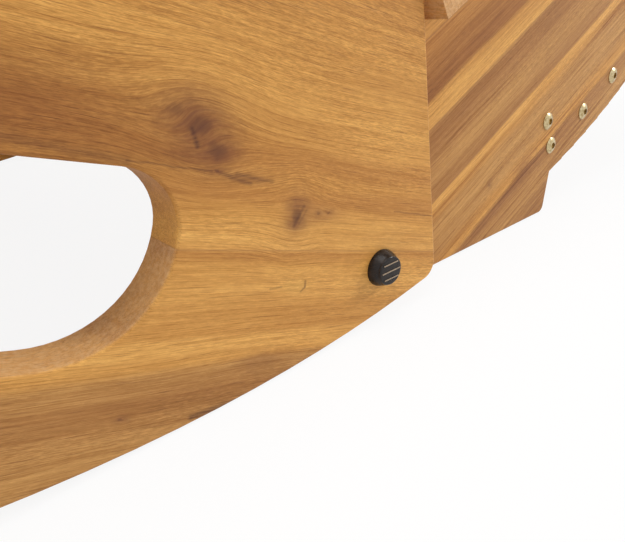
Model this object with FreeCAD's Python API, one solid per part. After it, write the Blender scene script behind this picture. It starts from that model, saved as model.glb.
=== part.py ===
import FreeCAD, Part
import math
import os

V = FreeCAD.Vector

# Wooden rocking lounger, millimetres, +Z up, feet towards -X, head towards +X.
# It is drawn parked on its heels: the floor is z = 0, x = 0 is under the centre of the leg rocker,
# and y = 0 is the middle plane. The last step moves the origin to the middle of the floor outline.

# Overall
OVERALL_WIDTH = 760.0
BOARD_THICKNESS = 28.0
SIDE_GAP = 1.0
EDGE_ROUND = 2.0
CUT_MARGIN = 1.0

# Leg half: outer side panels, rising towards the feet
LEG_TILT = 19.2
LEG_ROCKER_RADIUS = 848.0
LEG_HALF_LENGTH = 425.0
LEG_HEIGHT = 262.0
KNEE_START = 60.0
KNEE_RADIUS = 1600.0
FOOT_CORNER_RADIUS = 22.0

# Hand slot in each leg panel, measured from the lowest point of the rocker edge
SLOT_BOTTOM = 78.0
SLOT_TOP = 168.0
SLOT_HALF_LENGTH = 229.0
SLOT_TOP_RADIUS = 30.0

# Mitred hip end of the leg panel
MITRE_X = 164.2
MITRE_Z = 65.0
MITRE_CORNER_RADIUS = 12.0

# Back half: inner side panels with a flat heel
BACK_TILT = 26.0
BACK_LENGTH = 730.0
BACK_ROCKER_X = 146.0
BACK_ROCKER_RADIUS = 660.0
BACK_ROCKER_END_ANGLE = 37.0
BACK_TAIL_RADIUS = 2500.0
RECLINE_START = 380.0
RECLINE_RADIUS = 1500.0
HEAD_CORNER_RADIUS = 26.0
HEEL_X = 351.0
HEEL_LEAN = 11.4
HEEL_CORNER_RADIUS = 7.0

# Fold pivot and its ears
EAR_RADIUS = 30.0
EAR_RISE = 23.0
EAR_NECK_RADIUS = 8.0
PIVOT_SHANK_RADIUS = 6.0
PIVOT_CLEARANCE = 0.06
PIVOT_HEAD_RADIUS = 13.0
PIVOT_HEAD_HEIGHT = 7.0
PIVOT_SOCKET_FLATS = 8.0
PIVOT_SOCKET_DEPTH = 3.5
PIVOT_NUT_FLATS = 19.0
PIVOT_NUT_HEIGHT = 10.0
PIVOT_NUT_SHOULDER = 0.8
PIVOT_TIP_SETBACK = 2.0
PIVOT_WASHER_RADIUS = 15.0
PIVOT_WASHER_THICKNESS = 2.0

# Stop pin through each leg panel, which the back panel leans on, with its end cap
PIN_X = 114.3
PIN_Z = 39.0
PIN_RADIUS = 8.0
PIN_WALL = 2.0
PIN_END_ROUND = 1.5
PIN_CLEARANCE = 0.15
PIN_SEAT_CLEARANCE = 0.35
CAP_BASE_RADIUS = 12.0
CAP_FACE_RADIUS = 10.2
CAP_HEIGHT = 8.5
CAP_RIM_ROUND = 1.2
CAP_SPIGOT_LENGTH = 18.0
CAP_RIB_COUNT = 4
CAP_RIB_PITCH = 3.8
CAP_RIB_WIDTH = 1.0
CAP_RIB_HEIGHT = 0.6
CAP_RIB_ROOT = 0.5
CAP_RIB_MARGIN = 2.4

# Slats
SLAT_WIDTH = 50.0
SLAT_THICKNESS = 20.0
LEG_SLAT_COUNT = 11
BACK_SLAT_COUNT = 11
SLAT_OVERHANG = 6.0
SLAT_ROUND = 4.0
BACK_SLAT_START = 5.0
HIP_MARGIN = 3.0

# Cross rails between the side panels
RAIL_HEIGHT = 60.0
RAIL_THICKNESS = 28.0
RAIL_ROUND = 4.0
FOOT_RAIL_SETBACK = 45.0
MID_RAIL_ALONG = 440.0
HEAD_RAIL_SETBACK = 50.0
RAIL_DROP = 6.0
HIP_RAIL_WIDTH = 40.0
HIP_RAIL_THICKNESS = 20.0
HIP_RAIL_CLEARANCE = 1.0
TENON_RADIUS = 7.0
TENON_LENGTH = 16.0
TENON_CLEARANCE = 0.1

# Runner that doubles the lower edge of each back panel
RUNNER_THICKNESS = 28.0
RUNNER_DEPTH = 72.0
RUNNER_BOLT_COUNT = 4
RUNNER_FIRST_ANGLE = 19.2
RUNNER_PITCH_ANGLE = 4.85
RUNNER_BOLT_INSET = 24.0
RUNNER_BOLT_STACK = 23.5
RUNNER_END_ANGLE = 2.6
RUNNER_CORNER_RADIUS = 12.0
RUNNER_EDGE_SETBACK = 0.6

# M8 button head bolts, sleeve nuts and barrel nuts
BOLT_RADIUS = 4.0
BOLT_CLEARANCE = 0.2
BOLT_HEAD_RADIUS = 7.0
BOLT_HEAD_HEIGHT = 2.4
BOLT_SOCKET_FLATS = 5.0
BOLT_SOCKET_DEPTH = 2.6
BOLT_TIP_SETBACK = 2.0
RAIL_BOLT_LENGTH = 78.0
SLEEVE_RADIUS = 5.5
SLEEVE_LENGTH = 20.0
SLEEVE_FLANGE_RADIUS = 8.0
SLEEVE_FLANGE_THICKNESS = 1.6
BARREL_RADIUS = 6.0
BARREL_LENGTH = 18.0
BARREL_CLEARANCE = 0.1

# Derived places
LEG_SIN = math.sin(math.radians(LEG_TILT))
LEG_COS = math.cos(math.radians(LEG_TILT))
BACK_SIN = math.sin(math.radians(BACK_TILT))
BACK_COS = math.cos(math.radians(BACK_TILT))
MITRE_LEAN = math.radians((BACK_TILT - LEG_TILT) / 2)
OUTER_FACE = OVERALL_WIDTH / 2
INNER_FACE = OUTER_FACE - BOARD_THICKNESS - SIDE_GAP
RAIL_SPAN = INNER_FACE - BOARD_THICKNESS
FOOT_SPAN = OUTER_FACE - BOARD_THICKNESS
SLAT_LENGTH = OVERALL_WIDTH + 2 * SLAT_OVERHANG
SIDES = {"left": -1.0, "right": 1.0}


def leg(u, v):
    """Point in the leg half: u along the panel towards the hip, v up from its lowest rocker point."""
    return V(u * LEG_COS + (v - LEG_ROCKER_RADIUS) * LEG_SIN, 0,
             LEG_ROCKER_RADIUS - u * LEG_SIN + (v - LEG_ROCKER_RADIUS) * LEG_COS)


def mitre_x(z):
    return MITRE_X - (z - MITRE_Z) * math.tan(MITRE_LEAN)


def crease_point():
    """Where the top of the leg slats meets the mitre plane; the back slats start from here."""
    surface = leg(0, LEG_HEIGHT + SLAT_THICKNESS)
    slope = math.tan(math.radians(LEG_TILT))
    lean = math.tan(MITRE_LEAN)
    z = (surface.z - slope * (MITRE_X + MITRE_Z * lean - surface.x)) / (1 - slope * lean)
    return V(mitre_x(z), 0, z)


CREASE = crease_point()


def back(along, depth):
    """Point in the back half: along from the crease to the head, depth below the straight slat surface."""
    return V(CREASE.x + along * BACK_COS + depth * BACK_SIN, 0,
             CREASE.z + along * BACK_SIN - depth * BACK_COS)


def recline(along, depth):
    """Point and surface angle on the back's top line, which curls up towards the head."""
    if along <= RECLINE_START:
        return back(along, depth), BACK_TILT
    turn = (along - RECLINE_START) / RECLINE_RADIUS
    reach = (RECLINE_RADIUS + depth) * math.sin(turn)
    lift = RECLINE_RADIUS - (RECLINE_RADIUS + depth) * math.cos(turn)
    return back(RECLINE_START + reach, -lift), BACK_TILT + math.degrees(turn)


def knee(u):
    """Height of the leg panel's top edge at u, and how far it has turned down towards the feet."""
    if u >= KNEE_START:
        return LEG_HEIGHT, 0.0
    turn = math.asin((KNEE_START - u) / KNEE_RADIUS)
    return LEG_HEIGHT - KNEE_RADIUS * (1 - math.cos(turn)), math.degrees(turn)


def back_rocker(angle, inset=0.0):
    """Point inset from the back's lower rocker edge, at an angle from straight down."""
    reach = BACK_ROCKER_RADIUS - inset
    turn = math.radians(angle)
    return V(BACK_ROCKER_X + reach * math.sin(turn), 0, BACK_ROCKER_RADIUS - reach * math.cos(turn))


PIVOT_Z = CREASE.z + EAR_RISE + EAR_RADIUS * math.sin(math.radians(LEG_TILT))
PIVOT = V(mitre_x(PIVOT_Z) - EAR_RADIUS / math.cos(MITRE_LEAN), 0, PIVOT_Z)


def line(a, b):
    return Part.LineSegment(a, b).toShape()


def arc(a, middle, b):
    return Part.Arc(a, middle, b).toShape()


def prism(edges, inner, outer):
    """Solid between two Y planes from a closed outline drawn in the XZ plane."""
    face = Part.Face(Part.Wire(Part.sortEdges(edges)[0]))
    face.translate(V(0, inner, 0))
    return face.extrude(V(0, outer - inner, 0))


def rod(radius, centre, start, end):
    return Part.makeCylinder(radius, end - start, V(centre.x, start, centre.z), V(0, 1, 0))


def round_corners(solid, corners):
    """Round the upright edges of a board that pass through the given points of its outline."""
    for point, radius in corners:
        near = [e for e in solid.Edges
                if len(e.Vertexes) == 2
                and all(abs(v.Point.x - point.x) + abs(v.Point.z - point.z) < 0.01 for v in e.Vertexes)]
        solid = solid.makeFillet(radius, near)
    return solid


def ease_edges(solid, radius, planes):
    """Round over all outline edges that lie in the given Y planes."""
    edges = [e for e in solid.Edges
             if any(abs(e.BoundBox.YMin - y) < 0.01 and abs(e.BoundBox.YMax - y) < 0.01 for y in planes)]
    return solid.makeFillet(radius, edges)


def mirror(shape):
    return shape.mirror(V(0, 0, 0), V(0, 1, 0))


def both_sides(right_shape):
    return {"left": mirror(right_shape), "right": right_shape}


def leg_outline():
    """Closed outline of the leg panel and the corners that are rounded afterwards."""
    circle_turn = math.asin(LEG_HALF_LENGTH / LEG_ROCKER_RADIUS)
    foot_bottom = leg(-LEG_HALF_LENGTH, LEG_ROCKER_RADIUS * (1 - math.cos(circle_turn)))
    lean = math.tan(MITRE_LEAN)
    floor_x = MITRE_X + MITRE_Z * lean
    a = 1 + lean * lean
    b = -2 * (LEG_ROCKER_RADIUS + floor_x * lean)
    z = (-b - math.sqrt(b * b - 4 * a * floor_x * floor_x)) / (2 * a)
    hip_bottom = V(floor_x - z * lean, 0, z)
    foot_height, foot_turn = knee(-LEG_HALF_LENGTH)
    foot_top = leg(-LEG_HALF_LENGTH, foot_height)
    knee_start = leg(KNEE_START, LEG_HEIGHT)
    half_turn = math.radians(foot_turn / 2)
    knee_middle = leg(KNEE_START - KNEE_RADIUS * math.sin(half_turn),
                      LEG_HEIGHT - KNEE_RADIUS * (1 - math.cos(half_turn)))
    ear_right = PIVOT + V(EAR_RADIUS * math.cos(MITRE_LEAN), 0, EAR_RADIUS * math.sin(MITRE_LEAN))
    ear_left = PIVOT + V(-EAR_RADIUS * LEG_COS, 0, EAR_RADIUS * LEG_SIN)
    ear_top = PIVOT + V(0, 0, EAR_RADIUS)
    neck_u = (ear_left.x * LEG_COS - (ear_left.z - LEG_ROCKER_RADIUS) * LEG_SIN)
    neck = leg(neck_u, LEG_HEIGHT)
    edges = [arc(foot_bottom, V(0, 0, 0), hip_bottom), line(hip_bottom, ear_right),
             arc(ear_right, ear_top, ear_left), line(ear_left, neck), line(neck, knee_start),
             arc(knee_start, knee_middle, foot_top), line(foot_top, foot_bottom)]
    corners = [(hip_bottom, MITRE_CORNER_RADIUS), (neck, EAR_NECK_RADIUS),
               (foot_top, FOOT_CORNER_RADIUS), (foot_bottom, FOOT_CORNER_RADIUS)]
    return edges, corners, neck_u


def slot_outline():
    """Hand slot with tight upper and wide lower corners, alike at both ends."""
    low_radius = SLOT_TOP - SLOT_BOTTOM - SLOT_TOP_RADIUS
    waist = SLOT_TOP - SLOT_TOP_RADIUS
    diagonal = math.sqrt(0.5)
    low_u = SLOT_HALF_LENGTH - low_radius
    top_u = SLOT_HALF_LENGTH - SLOT_TOP_RADIUS
    edges = [line(leg(-low_u, SLOT_BOTTOM), leg(low_u, SLOT_BOTTOM)),
             line(leg(-top_u, SLOT_TOP), leg(top_u, SLOT_TOP))]
    for end in (-1, 1):
        tip = leg(end * SLOT_HALF_LENGTH, waist)
        low_middle = leg(end * (low_u + low_radius * diagonal), waist - low_radius * diagonal)
        top_middle = leg(end * (top_u + SLOT_TOP_RADIUS * diagonal), waist + SLOT_TOP_RADIUS * diagonal)
        edges.append(arc(leg(end * low_u, SLOT_BOTTOM), low_middle, tip))
        edges.append(arc(tip, top_middle, leg(end * top_u, SLOT_TOP)))
    return edges


def foot_rail_place():
    u = -LEG_HALF_LENGTH + FOOT_RAIL_SETBACK
    top, turn = knee(u)
    return leg(u, top - RAIL_DROP - RAIL_HEIGHT / 2), turn - LEG_TILT


def make_leg_panel():
    edges, corners, _ = leg_outline()
    inner = OUTER_FACE - BOARD_THICKNESS
    panel = round_corners(prism(edges, inner, OUTER_FACE), corners)
    panel = panel.cut(prism(slot_outline(), inner - CUT_MARGIN, OUTER_FACE + CUT_MARGIN))
    panel = ease_edges(panel, EDGE_ROUND, (inner, OUTER_FACE))
    rail, _ = foot_rail_place()
    for radius, centre in ((PIVOT_SHANK_RADIUS + PIVOT_CLEARANCE, PIVOT),
                           (PIN_RADIUS + PIN_CLEARANCE, V(PIN_X, 0, PIN_Z)),
                           (BOLT_RADIUS + BOLT_CLEARANCE, rail)):
        panel = panel.cut(rod(radius, centre, inner - CUT_MARGIN, OUTER_FACE + CUT_MARGIN))
    return panel


def back_outline():
    """Closed outline of the back panel and the corners that are rounded afterwards."""
    ear_right = PIVOT + V(EAR_RADIUS * math.cos(MITRE_LEAN), 0, EAR_RADIUS * math.sin(MITRE_LEAN))
    pin = V(PIN_X, 0, PIN_Z)
    to_pin = pin - PIVOT
    side = math.asin(EAR_RADIUS / to_pin.Length)
    heading = math.atan2(to_pin.z, to_pin.x) - math.pi / 2 - side
    ear_left = PIVOT + V(EAR_RADIUS * math.cos(heading), 0, EAR_RADIUS * math.sin(heading))
    toe_x = pin.x + (pin.x - ear_left.x) * pin.z / (ear_left.z - pin.z)
    toe = V(toe_x, 0, 0)
    heel = V(HEEL_X, 0, 0)
    lean = math.radians(HEEL_LEAN)
    rise = V(math.sin(lean), 0, math.cos(lean))
    from_centre = heel - V(BACK_ROCKER_X, 0, BACK_ROCKER_RADIUS)
    half = from_centre.dot(rise)
    reach = -half - math.sqrt(half * half - from_centre.dot(from_centre) + BACK_ROCKER_RADIUS ** 2)
    heel_top = heel + rise * reach
    heel_angle = math.degrees(math.atan2(heel_top.x - BACK_ROCKER_X, BACK_ROCKER_RADIUS - heel_top.z))
    bend = back_rocker(BACK_ROCKER_END_ANGLE)
    tail_centre = back_rocker(BACK_ROCKER_END_ANGLE, BACK_TAIL_RADIUS)
    head_top, head_tilt = recline(BACK_LENGTH, SLAT_THICKNESS)
    head_down = V(math.sin(math.radians(head_tilt)), 0, -math.cos(math.radians(head_tilt)))
    from_tail = head_top - tail_centre
    half = from_tail.dot(head_down)
    head_bottom = head_top + head_down * (
        -half + math.sqrt(half * half - from_tail.dot(from_tail) + BACK_TAIL_RADIUS ** 2))
    middle = (bend + head_bottom) * 0.5 - tail_centre
    tail_middle = tail_centre + middle * (BACK_TAIL_RADIUS / middle.Length)
    shoulder = recline((BACK_LENGTH + RECLINE_START) / 2, SLAT_THICKNESS)[0]
    straight_end = back(RECLINE_START, SLAT_THICKNESS)
    slope = math.tan(math.radians(BACK_TILT))
    corner = back(0, SLAT_THICKNESS)
    neck_down = V(math.sin(MITRE_LEAN), 0, -math.cos(MITRE_LEAN))
    drop = (ear_right.z - corner.z - slope * (ear_right.x - corner.x)) / (slope * neck_down.x - neck_down.z)
    neck = ear_right + neck_down * drop
    ear_top = PIVOT + V(0, 0, EAR_RADIUS)
    edges = [line(toe, heel), line(heel, heel_top),
             arc(heel_top, back_rocker((heel_angle + BACK_ROCKER_END_ANGLE) / 2), bend),
             arc(bend, tail_middle, head_bottom), line(head_bottom, head_top),
             arc(head_top, shoulder, straight_end), line(straight_end, neck), line(neck, ear_right),
             arc(ear_right, ear_top, ear_left), line(ear_left, toe)]
    corners = [(heel, HEEL_CORNER_RADIUS), (toe, HEEL_CORNER_RADIUS), (head_bottom, HEAD_CORNER_RADIUS),
               (head_top, HEAD_CORNER_RADIUS), (neck, EAR_NECK_RADIUS)]
    return edges, corners


def rail_places():
    """Centre and angle of the two cross rails of the back, just under the slats."""
    places = {}
    for name, along in (("mid_rail", MID_RAIL_ALONG), ("head_rail", BACK_LENGTH - HEAD_RAIL_SETBACK)):
        centre, tilt = recline(along, SLAT_THICKNESS + RAIL_DROP + RAIL_HEIGHT / 2)
        places[name] = (centre, tilt)
    return places


def runner_bolt_places():
    """A stacked pair at the heel, then a row along the lower edge."""
    row = [back_rocker(RUNNER_FIRST_ANGLE + k * RUNNER_PITCH_ANGLE, RUNNER_BOLT_INSET)
           for k in range(RUNNER_BOLT_COUNT)]
    return [back_rocker(RUNNER_FIRST_ANGLE, RUNNER_BOLT_INSET + RUNNER_BOLT_STACK)] + row


def hip_rail_centre():
    return PIVOT - V(0, 0, PIVOT_WASHER_RADIUS + HIP_RAIL_CLEARANCE + HIP_RAIL_THICKNESS / 2)


def make_back_panel():
    edges, corners = back_outline()
    inner = INNER_FACE - BOARD_THICKNESS
    panel = round_corners(prism(edges, inner, INNER_FACE), corners)
    panel = ease_edges(panel, EDGE_ROUND, (inner, INNER_FACE))
    start = inner - CUT_MARGIN
    mortise = inner + TENON_LENGTH
    panel = panel.cut(rod(TENON_RADIUS + TENON_CLEARANCE, hip_rail_centre(), start, mortise))
    bolts = runner_bolt_places() + [centre for centre, _ in rail_places().values()]
    holes = [(PIN_RADIUS + PIN_SEAT_CLEARANCE, V(PIN_X, 0, PIN_Z)),
             (PIVOT_SHANK_RADIUS + PIVOT_CLEARANCE, PIVOT)]
    holes += [(BOLT_RADIUS + BOLT_CLEARANCE, centre) for centre in bolts]
    for radius, centre in holes:
        panel = panel.cut(rod(radius, centre, start, INNER_FACE + CUT_MARGIN))
    return panel


def make_runner():
    """Curved doubler on the inside of a back panel, along its rocker edge."""
    start = RUNNER_FIRST_ANGLE - RUNNER_END_ANGLE
    end = RUNNER_FIRST_ANGLE + (RUNNER_BOLT_COUNT - 1) * RUNNER_PITCH_ANGLE + RUNNER_END_ANGLE
    middle = (start + end) / 2
    low, high = RUNNER_EDGE_SETBACK, RUNNER_DEPTH
    edges = [arc(back_rocker(start, low), back_rocker(middle, low), back_rocker(end, low)),
             line(back_rocker(end, low), back_rocker(end, high)),
             arc(back_rocker(end, high), back_rocker(middle, high), back_rocker(start, high)),
             line(back_rocker(start, high), back_rocker(start, low))]
    outer = INNER_FACE - BOARD_THICKNESS
    inner = outer - RUNNER_THICKNESS
    corners = [(back_rocker(a, d), RUNNER_CORNER_RADIUS) for a in (start, end) for d in (low, high)]
    runner = round_corners(prism(edges, inner, outer), corners)
    runner = ease_edges(runner, EDGE_ROUND, (inner,))
    mouth = inner - CUT_MARGIN
    for centre in runner_bolt_places():
        runner = runner.cut(rod(BOLT_RADIUS + BOLT_CLEARANCE, centre, mouth, outer + CUT_MARGIN))
        runner = runner.cut(rod(SLEEVE_RADIUS + BOLT_CLEARANCE, centre, mouth, inner + SLEEVE_LENGTH))
    return runner


def lay(shape, centre, angle):
    """Turn a piece drawn flat at the origin by an upward angle and set it at a place in the XZ plane."""
    shape.rotate(V(0, 0, 0), V(0, 1, 0), -angle)
    shape.translate(centre)
    return shape


def rounded_bar(width, thickness, length, radius, top_only):
    """Bar along Y with its long edges rounded, its centre at the origin."""
    bar = Part.makeBox(width, length, thickness, V(-width / 2, -length / 2, -thickness / 2))
    edges = [e for e in bar.Edges if e.BoundBox.YLength > length / 2
             and (e.BoundBox.ZMin > 0 or not top_only)]
    return bar.makeFillet(radius, edges)


def make_slat(place, angle):
    slat = rounded_bar(SLAT_WIDTH, SLAT_THICKNESS, SLAT_LENGTH, SLAT_ROUND, True)
    return lay(slat, place, angle)


def leg_slats():
    """Slats from the hip to the feet, each tangent to the leg panel's top edge."""
    _, _, neck_u = leg_outline()
    first = neck_u - EAR_NECK_RADIUS - HIP_MARGIN - SLAT_WIDTH / 2
    last = -LEG_HALF_LENGTH + FOOT_CORNER_RADIUS + SLAT_WIDTH / 2
    pitch = (first - last) / (LEG_SLAT_COUNT - 1)
    slats = {}
    for k in range(LEG_SLAT_COUNT):
        u = first - k * pitch
        top, turn = knee(u)
        turned = math.radians(turn)
        lift = SLAT_THICKNESS / 2
        place = leg(u - lift * math.sin(turned), top + lift * math.cos(turned))
        slats["leg_slat_%02d" % (k + 1)] = make_slat(place, turn - LEG_TILT)
    return slats


def back_slats():
    """Slats from the crease to the head; on the curved stretch each one bears on its two lower edges."""
    first = BACK_SLAT_START + SLAT_WIDTH / 2
    last = BACK_LENGTH - HEAD_CORNER_RADIUS - SLAT_WIDTH / 2
    pitch = (last - first) / (BACK_SLAT_COUNT - 1)
    slats = {}
    for k in range(BACK_SLAT_COUNT):
        along = first + k * pitch
        curved = along + SLAT_WIDTH / 2 > RECLINE_START
        sag = (SLAT_WIDTH / 2) ** 2 / (2 * RECLINE_RADIUS) if curved else 0.0
        place, tilt = recline(along, SLAT_THICKNESS / 2 - sag)
        slats["back_slat_%02d" % (k + 1)] = make_slat(place, tilt)
    return slats


def make_rail(centre, angle, half_span):
    """Cross rail with a bolt hole and a barrel nut hole at each end."""
    rail = rounded_bar(RAIL_THICKNESS, RAIL_HEIGHT, 2 * half_span, RAIL_ROUND, False)
    depth = RAIL_BOLT_LENGTH - BOARD_THICKNESS + BOLT_CLEARANCE
    barrel_bore = BARREL_RADIUS + BARREL_CLEARANCE
    for side in SIDES.values():
        near, far = sorted((side * half_span, side * (half_span - depth)))
        rail = rail.cut(rod(BOLT_RADIUS + BOLT_CLEARANCE, V(0, 0, 0), near, far))
        mouth = V(-RAIL_THICKNESS / 2, side * barrel_y(half_span), 0)
        rail = rail.cut(Part.makeCylinder(barrel_bore, RAIL_THICKNESS, mouth, V(1, 0, 0)))
    return lay(rail, centre, angle)


def barrel_y(half_span):
    """Where a rail's barrel nut sits, just short of the bolt's tip."""
    return half_span + BOARD_THICKNESS - RAIL_BOLT_LENGTH + BARREL_RADIUS


def make_barrel_nut(centre, angle, y):
    nut = Part.makeCylinder(BARREL_RADIUS, BARREL_LENGTH, V(-BARREL_LENGTH / 2, y, 0), V(1, 0, 0))
    nut = nut.cut(rod(BOLT_RADIUS + BOLT_CLEARANCE / 2, V(0, 0, 0), y - BARREL_RADIUS, y + BARREL_RADIUS))
    return lay(nut, centre, angle)


def make_hip_rail():
    rail = rounded_bar(HIP_RAIL_WIDTH, HIP_RAIL_THICKNESS, 2 * RAIL_SPAN, RAIL_ROUND, False)
    reach = RAIL_SPAN + TENON_LENGTH - TENON_CLEARANCE
    rail = rail.fuse(rod(TENON_RADIUS, V(0, 0, 0), -reach, reach)).removeSplitter()
    rail.translate(hip_rail_centre())
    return rail


def hexagon(flats, y, height):
    corner = flats / math.sqrt(3)
    points = [V(corner * math.cos(math.radians(60 * k)), y, corner * math.sin(math.radians(60 * k)))
              for k in range(7)]
    return Part.Face(Part.makePolygon(points)).extrude(V(0, height, 0))


def domed_head(radius, height, face):
    """Button head standing on a face that looks along +Y, drawn as a revolved profile."""
    rim = height * 0.25
    low, edge = V(0, face, 0), V(radius, face, 0)
    shoulder, crown = V(radius, face + rim, 0), V(0, face + height, 0)
    flank = V(radius * 0.74, face + rim + (height - rim) * 0.68, 0)
    wire = Part.Wire([line(low, edge), line(edge, shoulder), arc(shoulder, flank, crown), line(crown, low)])
    return Part.Face(wire).revolve(V(0, 0, 0), V(0, 1, 0), 360)


def make_bolt(centre, face, length):
    """Button head bolt with a hexagon socket, its shank running inwards from a face that looks along +Y."""
    head = domed_head(BOLT_HEAD_RADIUS, BOLT_HEAD_HEIGHT, face)
    socket_floor = face + BOLT_HEAD_HEIGHT - BOLT_SOCKET_DEPTH
    head = head.cut(hexagon(BOLT_SOCKET_FLATS, socket_floor, BOLT_SOCKET_DEPTH + CUT_MARGIN))
    bolt = head.fuse(rod(BOLT_RADIUS, V(0, 0, 0), face - length, face)).removeSplitter()
    bolt.translate(centre)
    return bolt


def make_sleeve_nut(centre):
    """Sleeve nut pressed into the runner, its flange on the runner's inner face."""
    face = INNER_FACE - BOARD_THICKNESS - RUNNER_THICKNESS
    sleeve = rod(SLEEVE_RADIUS, V(0, 0, 0), face, face + SLEEVE_LENGTH - BOLT_CLEARANCE)
    sleeve = sleeve.fuse(rod(SLEEVE_FLANGE_RADIUS, V(0, 0, 0), face - SLEEVE_FLANGE_THICKNESS, face))
    bore = rod(BOLT_RADIUS + BOLT_CLEARANCE / 2, V(0, 0, 0), face, face + SLEEVE_LENGTH)
    sleeve = sleeve.cut(bore).removeSplitter()
    sleeve.translate(centre)
    return sleeve


def make_cap():
    """Push-in end cap of a stop pin: a tapered button with ribs across its face."""
    face = OUTER_FACE
    top = face + CAP_HEIGHT
    button = Part.makeCone(CAP_BASE_RADIUS, CAP_FACE_RADIUS, CAP_HEIGHT, V(0, face, 0), V(0, 1, 0))
    button = ease_edges(button, CAP_RIM_ROUND, (top,))
    middle = (CAP_RIB_COUNT - 1) / 2
    for k in range(CAP_RIB_COUNT):
        height = (k - middle) * CAP_RIB_PITCH
        half = math.sqrt((CAP_FACE_RADIUS - CAP_RIB_MARGIN) ** 2 - height ** 2)
        button = button.fuse(Part.makeBox(2 * half, CAP_RIB_HEIGHT + CAP_RIB_ROOT, CAP_RIB_WIDTH,
                                          V(-half, top - CAP_RIB_ROOT, height - CAP_RIB_WIDTH / 2)))
    spigot = rod(PIN_RADIUS - PIN_WALL - PIN_CLEARANCE, V(0, 0, 0), face - CAP_SPIGOT_LENGTH, face)
    cap = button.fuse(spigot).removeSplitter()
    cap.translate(V(PIN_X, 0, PIN_Z))
    return cap


def make_stop_pins():
    """Steel pins through the leg panels, each reaching across the notch of a back panel."""
    place = V(PIN_X, 0, PIN_Z)
    inner = INNER_FACE - BOARD_THICKNESS
    socket_depth = CAP_SPIGOT_LENGTH + PIN_CLEARANCE
    pin = ease_edges(rod(PIN_RADIUS, place, inner, OUTER_FACE), PIN_END_ROUND, (inner,))
    pin = pin.cut(rod(PIN_RADIUS - PIN_WALL, place, OUTER_FACE - socket_depth, OUTER_FACE))
    return Part.makeCompound([pin, mirror(pin)])


def pivot_hardware():
    """Shoulder bolt, spacer, washer and cap nut of the right-hand pivot."""
    inner = INNER_FACE - BOARD_THICKNESS
    washer_face = inner - PIVOT_CLEARANCE
    nut_face = washer_face - PIVOT_WASHER_THICKNESS
    tip = nut_face - PIVOT_NUT_HEIGHT
    bolt = domed_head(PIVOT_HEAD_RADIUS, PIVOT_HEAD_HEIGHT, OUTER_FACE)
    socket_floor = OUTER_FACE + PIVOT_HEAD_HEIGHT - PIVOT_SOCKET_DEPTH
    bolt = bolt.cut(hexagon(PIVOT_SOCKET_FLATS, socket_floor, PIVOT_HEAD_HEIGHT))
    axis = V(0, 0, 0)
    shank_end = tip + PIVOT_TIP_SETBACK
    bolt = bolt.fuse(rod(PIVOT_SHANK_RADIUS, axis, shank_end, OUTER_FACE)).removeSplitter()
    hole = rod(PIVOT_SHANK_RADIUS + PIVOT_CLEARANCE, axis, shank_end, OUTER_FACE)
    spacer = rod(PIVOT_WASHER_RADIUS, axis, INNER_FACE + PIVOT_CLEARANCE, INNER_FACE + SIDE_GAP).cut(hole)
    washer = rod(PIVOT_WASHER_RADIUS, axis, nut_face, washer_face).cut(hole)
    nut = hexagon(PIVOT_NUT_FLATS, tip, PIVOT_NUT_HEIGHT)
    dome = Part.makeSphere(PIVOT_NUT_FLATS / 2 - PIVOT_NUT_SHOULDER, V(0, tip, 0), V(0, 1, 0), -90, 0, 360)
    nut = nut.fuse(dome).cut(hole).removeSplitter()
    pieces = {"pivot_bolt": bolt, "pivot_spacer": spacer, "pivot_washer": washer, "pivot_nut": nut}
    for piece in pieces.values():
        piece.translate(PIVOT)
    return pieces


def build():
    nodes = {}
    right_pieces = {"leg_panel": make_leg_panel(), "back_panel": make_back_panel(),
                    "back_runner": make_runner(), "stop_bar_cap": make_cap()}
    right_pieces.update(pivot_hardware())
    for name, shape in right_pieces.items():
        for side, piece in both_sides(shape).items():
            nodes["%s_%s" % (name, side)] = piece
    nodes.update(leg_slats())
    nodes.update(back_slats())
    nodes["stop_bar"] = make_stop_pins()
    nodes["hip_rail"] = make_hip_rail()
    foot_place, foot_angle = foot_rail_place()
    nodes["foot_rail"] = make_rail(foot_place, foot_angle, FOOT_SPAN)
    for name, (centre, tilt) in rail_places().items():
        nodes[name] = make_rail(centre, tilt, RAIL_SPAN)
    fasteners = {
        "foot_rail_bolts": [make_bolt(foot_place, OUTER_FACE, RAIL_BOLT_LENGTH)],
        "foot_rail_nuts": [make_barrel_nut(foot_place, foot_angle, barrel_y(FOOT_SPAN))],
        "back_rail_bolts": [make_bolt(c, INNER_FACE, RAIL_BOLT_LENGTH) for c, _ in rail_places().values()],
        "back_rail_nuts": [make_barrel_nut(c, a, barrel_y(RAIL_SPAN)) for c, a in rail_places().values()],
        "runner_bolts": [make_bolt(c, INNER_FACE, BOARD_THICKNESS + RUNNER_THICKNESS - BOLT_TIP_SETBACK)
                         for c in runner_bolt_places()],
        "runner_nuts": [make_sleeve_nut(c) for c in runner_bolt_places()],
    }
    for name, pieces in fasteners.items():
        nodes[name] = Part.makeCompound(pieces + [mirror(p) for p in pieces])
    return nodes


def main():
    nodes = build()
    boxes = [shape.optimalBoundingBox(False) for shape in nodes.values()]
    middle = (min(b.XMin for b in boxes) + max(b.XMax for b in boxes)) / 2
    os.makedirs("parts", exist_ok=True)
    for name, shape in nodes.items():
        shape.translate(V(-middle, 0, 0))
        shape.exportStep("parts/%s.step" % name)
    print("pieces: %d, x of the leg rocker's lowest line: %.4f" % (len(nodes), -middle))
    print("fold axis x %.4f z %.4f" % (PIVOT.x - middle, PIVOT.z))


main()
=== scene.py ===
import bpy
import bmesh
import math
import numpy as np
from mathutils import Matrix, Vector


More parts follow.
